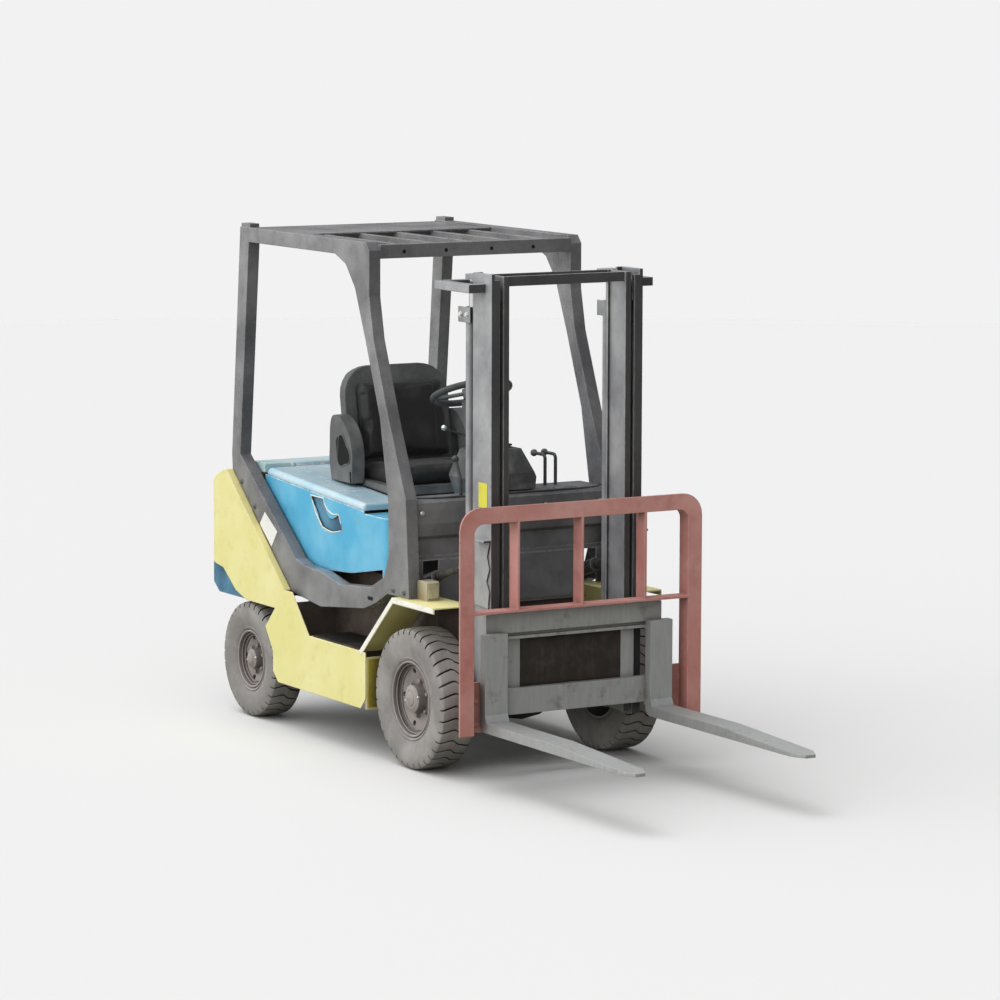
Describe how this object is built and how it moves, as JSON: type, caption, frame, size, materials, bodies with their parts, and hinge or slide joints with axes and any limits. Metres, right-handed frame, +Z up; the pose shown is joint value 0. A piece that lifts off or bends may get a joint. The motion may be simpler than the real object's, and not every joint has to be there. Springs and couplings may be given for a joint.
{
  "type": "counterbalance forklift truck",
  "caption": "Counterbalance forklift with a two-stage mast, side-shifting forks, load backrest, overhead guard, hinged seat hood and steered rear wheels.",
  "frame": {"origin": "centre of the bounding box at ground level", "axes": "+X is the picture's right hand side, +Y from the fork tips to the counterweight, +Z up"},
  "size_m": [1.124, 3.366, 2.1229],
  "materials": {
    "yellow_paint": "worn gloss",
    "blue_paint": "worn gloss",
    "brown_paint": "worn matt",
    "grey_paint": "satin",
    "dark_paint": "satin",
    "rim_paint": "dusty",
    "fork_steel": "worn",
    "rod_chrome": "polished",
    "dark_iron": "matt",
    "tyre_rubber": "dusty",
    "black_plastic": "matt",
    "shell_plastic": "matt",
    "seat_vinyl": "matt"
  },
  "bodies": {
    "chassis": {"drive_axle": "dark_iron", "steer_axle": "dark_iron", "main_frame": "yellow_paint", "engine_block": "dark_iron", "side_panel_left": "yellow_paint", "side_panel_right": "yellow_paint", "overhead_guard": "grey_paint", "guard_roof": "grey_paint", "floor_plate": "yellow_paint", "engine_cover": "blue_paint", "counterweight": "yellow_paint", "rear_casting": "blue_paint", "tow_pin": "rod_chrome", "rear_cover": "blue_paint", "front_cowl": "dark_paint", "dashboard": "black_plastic", "driver_controls": "black_plastic", "lamps": "dark_paint"},
    "hood_assembly": {"hood": "blue_paint", "seat_shell": "shell_plastic", "seat_cushion": "seat_vinyl", "seat_back": "seat_vinyl", "seat_bolsters": "shell_plastic"},
    "steering_wheel_body": {"steering_wheel": "black_plastic"},
    "front_wheel_left": {"front_tyre_left": "tyre_rubber", "front_rim_left": "rim_paint"},
    "front_wheel_right": {"front_tyre_right": "tyre_rubber", "front_rim_right": "rim_paint"},
    "steer_knuckle_left": {"knuckle_left": "dark_iron"},
    "steer_knuckle_right": {"knuckle_right": "dark_iron"},
    "rear_wheel_left": {"rear_tyre_left": "tyre_rubber", "rear_rim_left": "rim_paint"},
    "rear_wheel_right": {"rear_tyre_right": "tyre_rubber", "rear_rim_right": "rim_paint"},
    "mast_outer_body": {"mast_outer": "grey_paint", "lift_cylinders": "grey_paint"},
    "mast_inner_body": {"mast_inner": "grey_paint", "lift_rods": "rod_chrome"},
    "carriage_body": {"carriage": "fork_steel", "backrest": "brown_paint"},
    "fork_left_body": {"fork_left": "fork_steel"},
    "fork_right_body": {"fork_right": "fork_steel"},
    "tilt_barrel_body": {"tilt_barrels": "grey_paint"},
    "tilt_rod_body": {"tilt_rods": "rod_chrome"}
  },
  "joints": [
    {"name": "mast_tilt", "type": "hinge", "parent": "chassis", "child": "mast_outer_body", "pos_m": [0, -0.132, 0.288], "axis": [-1, 0, 0], "range_deg": [-6, 12]},
    {"name": "tilt_barrel_swing", "type": "hinge", "parent": "chassis", "child": "tilt_barrel_body", "pos_m": [0, 0.103, 0.705], "axis": [-1, 0, 0], "range_deg": [-5.5, 11]},
    {"name": "tilt_rod_slide", "type": "slide", "parent": "tilt_barrel_body", "child": "tilt_rod_body", "axis": [0, -0.9541, 0.2995], "range_m": [-0.1, 0.052]},
    {"name": "mast_lift", "type": "slide", "parent": "mast_outer_body", "child": "mast_inner_body", "axis": [0, 0, 1], "range_m": [-0.105, 1.32]},
    {"name": "carriage_lift", "type": "slide", "parent": "mast_inner_body", "child": "carriage_body", "axis": [0, 0, 1], "range_m": [-0.105, 1.32]},
    {"name": "fork_left_shift", "type": "slide", "parent": "carriage_body", "child": "fork_left_body", "axis": [-1, 0, 0], "range_m": [0, 0.3]},
    {"name": "fork_right_shift", "type": "slide", "parent": "carriage_body", "child": "fork_right_body", "axis": [1, 0, 0], "range_m": [0, 0.3]},
    {"name": "hood_hinge", "type": "hinge", "parent": "chassis", "child": "hood_assembly", "pos_m": [0, 1.261, 1.085], "axis": [-1, 0, 0], "range_deg": [0, 50]},
    {"name": "steer_right", "type": "hinge", "parent": "chassis", "child": "steer_knuckle_right", "pos_m": [-0.34, 1.278, 0.25], "axis": [0, 0, 1], "range_deg": [-75, 75]},
    {"name": "steer_left", "type": "hinge", "parent": "chassis", "child": "steer_knuckle_left", "pos_m": [0.34, 1.278, 0.25], "axis": [0, 0, 1], "range_deg": [-75, 75]},
    {"name": "steering_wheel_turn", "type": "hinge", "parent": "chassis", "child": "steering_wheel_body", "pos_m": [0, 0.264, 1.47], "axis": [0, 0.3746, 0.9272], "range_deg": [-900, 900]},
    {"name": "front_left_spin", "type": "hinge", "parent": "chassis", "child": "front_wheel_left", "pos_m": [0.438, -0.132, 0.288], "axis": [1, 0, 0], "continuous": true},
    {"name": "front_right_spin", "type": "hinge", "parent": "chassis", "child": "front_wheel_right", "pos_m": [-0.438, -0.132, 0.288], "axis": [1, 0, 0], "continuous": true},
    {"name": "rear_left_spin", "type": "hinge", "parent": "steer_knuckle_left", "child": "rear_wheel_left", "pos_m": [0.448, 1.278, 0.25], "axis": [1, 0, 0], "continuous": true},
    {"name": "rear_right_spin", "type": "hinge", "parent": "steer_knuckle_right", "child": "rear_wheel_right", "pos_m": [-0.448, 1.278, 0.25], "axis": [1, 0, 0], "continuous": true}
  ],
  "couplings": [
    {"joint": "tilt_barrel_swing", "follows": "mast_tilt", "ratio": 0.815},
    {"joint": "tilt_rod_slide", "follows": "mast_tilt", "m_per_rad": -0.47},
    {"joint": "carriage_lift", "follows": "mast_lift", "ratio": 1},
    {"joint": "steer_left", "follows": "steer_right", "ratio": 1},
    {"joint": "steering_wheel_turn", "follows": "steer_right", "ratio": -12}
  ]
}
